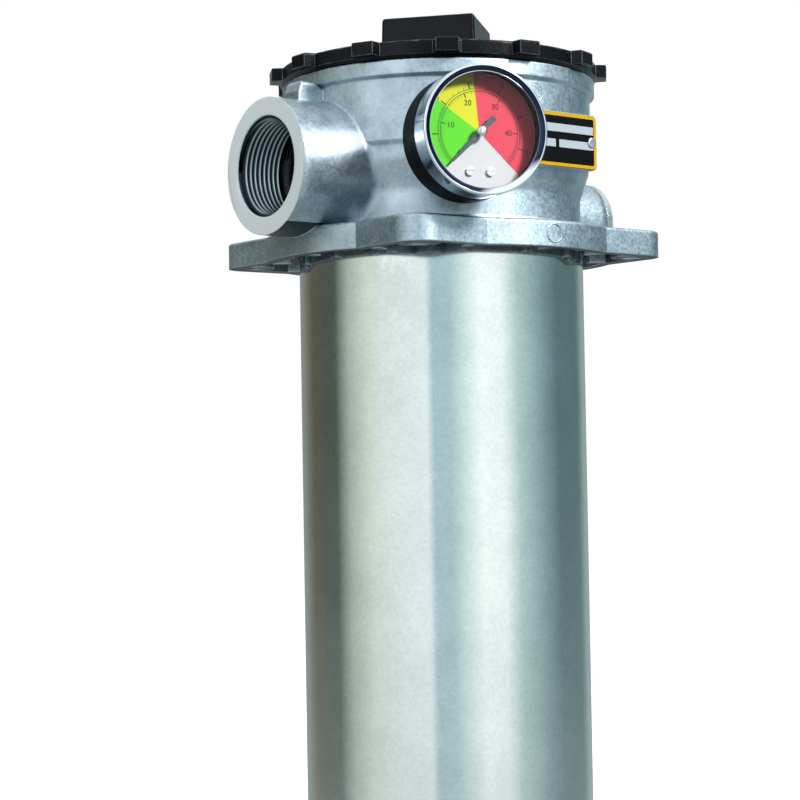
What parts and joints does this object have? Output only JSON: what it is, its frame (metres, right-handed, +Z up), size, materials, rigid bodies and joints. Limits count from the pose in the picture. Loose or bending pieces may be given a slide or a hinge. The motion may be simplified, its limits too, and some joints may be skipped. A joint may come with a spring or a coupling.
{
  "type": "tank top filter",
  "caption": "Tank top return filter with a cast aluminium head and flange, black screw cover, threaded side port, clogging gauge and long steel bowl.",
  "frame": {"origin": "centre of the bolt pattern at the flange's underside", "axes": "+Z up along the bowl's axis, -X out of the inlet port, -Y out of the nameplate"},
  "size_m": [0.1827, 0.1777, 0.407],
  "materials": {
    "cast_aluminium": "die-cast, satin, machined at the port and the seat ring",
    "zinc_steel": "drawn and zinc-plated, satin with a fine spangle",
    "black_plastic": "moulded, glossy",
    "filter_media": "pleated filter fleece",
    "bright_steel": "plain bright steel",
    "seal_copper": "soft copper washer",
    "plate_enamel": "printed plate, black with a yellow border",
    "black_enamel": "gloss black",
    "bezel_chrome": "polished",
    "lens_glass": "clear",
    "seal_rubber": "black nitrile",
    "dial_white": "printed dial with green, yellow and red fields",
    "pointer_slate": "dark grey-blue",
    "gauge_brass": "plain brass"
  },
  "bodies": {
    "head": {"filter_head": "cast_aluminium", "bowl": "zinc_steel", "bowl_seal": "seal_rubber", "element_media": "filter_media", "element_core": "bright_steel", "element_bottom_cap": "bright_steel", "element_top_cap": "bright_steel", "element_seal": "seal_rubber", "bypass_cage": "bright_steel", "bypass_spring": "bright_steel", "hold_down_spring": "bright_steel", "port_plug": "bright_steel", "plug_washer": "bright_steel", "nameplate": "plate_enamel", "nameplate_rivets": "bright_steel", "gauge_case": "black_enamel", "gauge_bezel": "bezel_chrome", "gauge_lens": "lens_glass", "gauge_seal": "seal_rubber", "gauge_dial": "dial_white", "dial_screws": "bright_steel", "gauge_movement": "gauge_brass", "gauge_link": "gauge_brass", "bourdon_tube": "gauge_brass", "gauge_socket": "gauge_brass", "gauge_washer": "seal_copper"},
    "cover_lift": {"cover_seal": "seal_rubber"},
    "cover": {"screw_cover": "black_plastic"},
    "valve": {"bypass_poppet": "bright_steel"},
    "pointer": {"gauge_pointer": "pointer_slate", "pointer_hub": "bright_steel"}
  },
  "joints": [
    {"name": "cover_lift", "type": "slide", "parent": "head", "child": "cover_lift", "axis": [0, 0, 1], "range_m": [0, 0.0141], "deforming": ["hold_down_spring"]},
    {"name": "cover_turn", "type": "hinge", "parent": "cover_lift", "child": "cover", "pos_m": [0, 0, 0.0782], "axis": [0, 0, 1], "range_deg": [0, 1260]},
    {"name": "bypass_slide", "type": "slide", "parent": "head", "child": "valve", "axis": [0, 0, -1], "range_m": [0, 0.006], "stiffness_N_per_m": 2000, "springref_m": -0.01, "deforming": ["bypass_spring"]},
    {"name": "pointer_turn", "type": "hinge", "parent": "head", "child": "pointer", "pos_m": [-0.04744, -0.08537, 0.0428], "axis": [0.3223, 0.9466, 0], "range_deg": [0, 270], "stiffness_Nm_per_rad": 0.0001, "springref_deg": -28.65}
  ],
  "couplings": [
    {"joint": "cover_lift", "follows": "cover_turn", "m_per_rad": 0.00063662}
  ]
}
